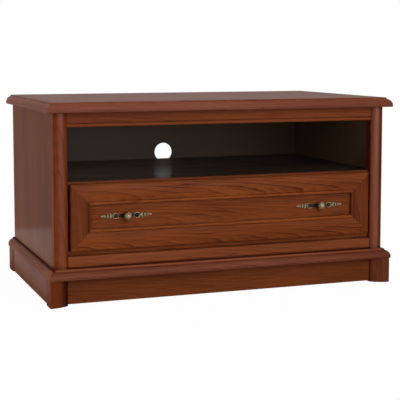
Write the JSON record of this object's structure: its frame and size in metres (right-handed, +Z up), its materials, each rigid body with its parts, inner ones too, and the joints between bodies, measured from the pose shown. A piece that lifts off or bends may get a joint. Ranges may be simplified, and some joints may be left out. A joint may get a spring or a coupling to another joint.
{
  "type": "tv stand",
  "caption": "Low wooden television stand with a moulded top and plinth, rounded corner posts, an open media bay and a wide framed drawer on roller runners.",
  "frame": {"origin": "centre of the footprint on the floor", "axes": "+X to the right along the width, +Y to the back, +Z up; the drawer faces -Y"},
  "size_m": [1.04, 0.606, 0.555],
  "materials": {
    "chestnut_wood": "satin lacquered chestnut-stained wood",
    "dark_interior": "satin black-brown board",
    "back_board": "matt dark brown hardboard",
    "drawer_box_board": "matt brown foil-covered board",
    "raw_wood": "unfinished wood",
    "runner_steel": "dark brown epoxy-coated steel",
    "roller_nylon": "dark brown nylon",
    "fastener_steel": "zinc-plated steel",
    "antique_brass": "darkened antique brass"
  },
  "bodies": {
    "cabinet": {"back_panel": "back_board", "base_front_moulding": "chestnut_wood", "base_left_moulding": "chestnut_wood", "base_panel": "chestnut_wood", "base_right_moulding": "chestnut_wood", "bottom_board": "chestnut_wood", "cabinet_roller_pins": "fastener_steel", "cam_bolts": "fastener_steel", "cam_discs": "fastener_steel", "frieze_rail": "chestnut_wood", "front_left_foot": "chestnut_wood", "front_right_foot": "chestnut_wood", "left_cabinet_runner": "runner_steel", "left_corner_post": "chestnut_wood", "left_runner_batten": "raw_wood", "left_side_panel": "chestnut_wood", "lower_rail": "chestnut_wood", "media_shelf": "dark_interior", "plinth_corner_blocks": "raw_wood", "plinth_front_board": "chestnut_wood", "plinth_left_board": "chestnut_wood", "plinth_rear_board": "chestnut_wood", "plinth_right_board": "chestnut_wood", "rear_left_foot": "chestnut_wood", "rear_right_foot": "chestnut_wood", "right_cabinet_runner": "runner_steel", "right_corner_post": "chestnut_wood", "right_runner_batten": "raw_wood", "right_side_panel": "chestnut_wood", "shelf_edge_strip": "chestnut_wood", "top_front_moulding": "chestnut_wood", "top_left_moulding": "chestnut_wood", "top_panel": "chestnut_wood", "top_right_moulding": "chestnut_wood", "wooden_dowels": "raw_wood"},
    "drawer": {"drawer_left_side": "drawer_box_board", "drawer_right_side": "drawer_box_board", "drawer_inner_front": "drawer_box_board", "drawer_back": "drawer_box_board", "drawer_bottom": "drawer_box_board", "drawer_front_bottom_rail": "chestnut_wood", "drawer_front_left_stile": "chestnut_wood", "drawer_front_panel": "chestnut_wood", "drawer_front_right_stile": "chestnut_wood", "drawer_front_top_rail": "chestnut_wood", "left_drawer_runner": "runner_steel", "right_drawer_runner": "runner_steel", "drawer_box_screws": "fastener_steel", "handle_screws": "fastener_steel", "drawer_roller_pins": "fastener_steel", "left_handle_plate": "antique_brass", "right_handle_plate": "antique_brass", "left_handle_knob": "antique_brass", "right_handle_knob": "antique_brass"},
    "front_left_roller_wheel": {"front_left_roller": "roller_nylon"},
    "front_right_roller_wheel": {"front_right_roller": "roller_nylon"},
    "rear_left_roller_wheel": {"rear_left_roller": "roller_nylon"},
    "rear_right_roller_wheel": {"rear_right_roller": "roller_nylon"}
  },
  "joints": [
    {"name": "drawer_slide", "type": "slide", "parent": "cabinet", "child": "drawer", "axis": [0, -1, 0], "range_m": [0, 0.37]},
    {"name": "front_left_roller_spin", "type": "hinge", "parent": "cabinet", "child": "front_left_roller_wheel", "pos_m": [-0.4555, -0.238, 0.1691], "axis": [1, 0, 0], "continuous": true},
    {"name": "front_right_roller_spin", "type": "hinge", "parent": "cabinet", "child": "front_right_roller_wheel", "pos_m": [0.4555, -0.238, 0.1691], "axis": [1, 0, 0], "continuous": true},
    {"name": "rear_left_roller_spin", "type": "hinge", "parent": "drawer", "child": "rear_left_roller_wheel", "pos_m": [-0.4555, 0.225, 0.1691], "axis": [1, 0, 0], "continuous": true},
    {"name": "rear_right_roller_spin", "type": "hinge", "parent": "drawer", "child": "rear_right_roller_wheel", "pos_m": [0.4555, 0.225, 0.1691], "axis": [1, 0, 0], "continuous": true}
  ],
  "couplings": [
    {"joint": "front_left_roller_spin", "follows": "drawer_slide", "rad_per_m": 90.909},
    {"joint": "front_right_roller_spin", "follows": "drawer_slide", "rad_per_m": 90.909},
    {"joint": "rear_left_roller_spin", "follows": "drawer_slide", "rad_per_m": 90.909},
    {"joint": "rear_right_roller_spin", "follows": "drawer_slide", "rad_per_m": 90.909}
  ]
}
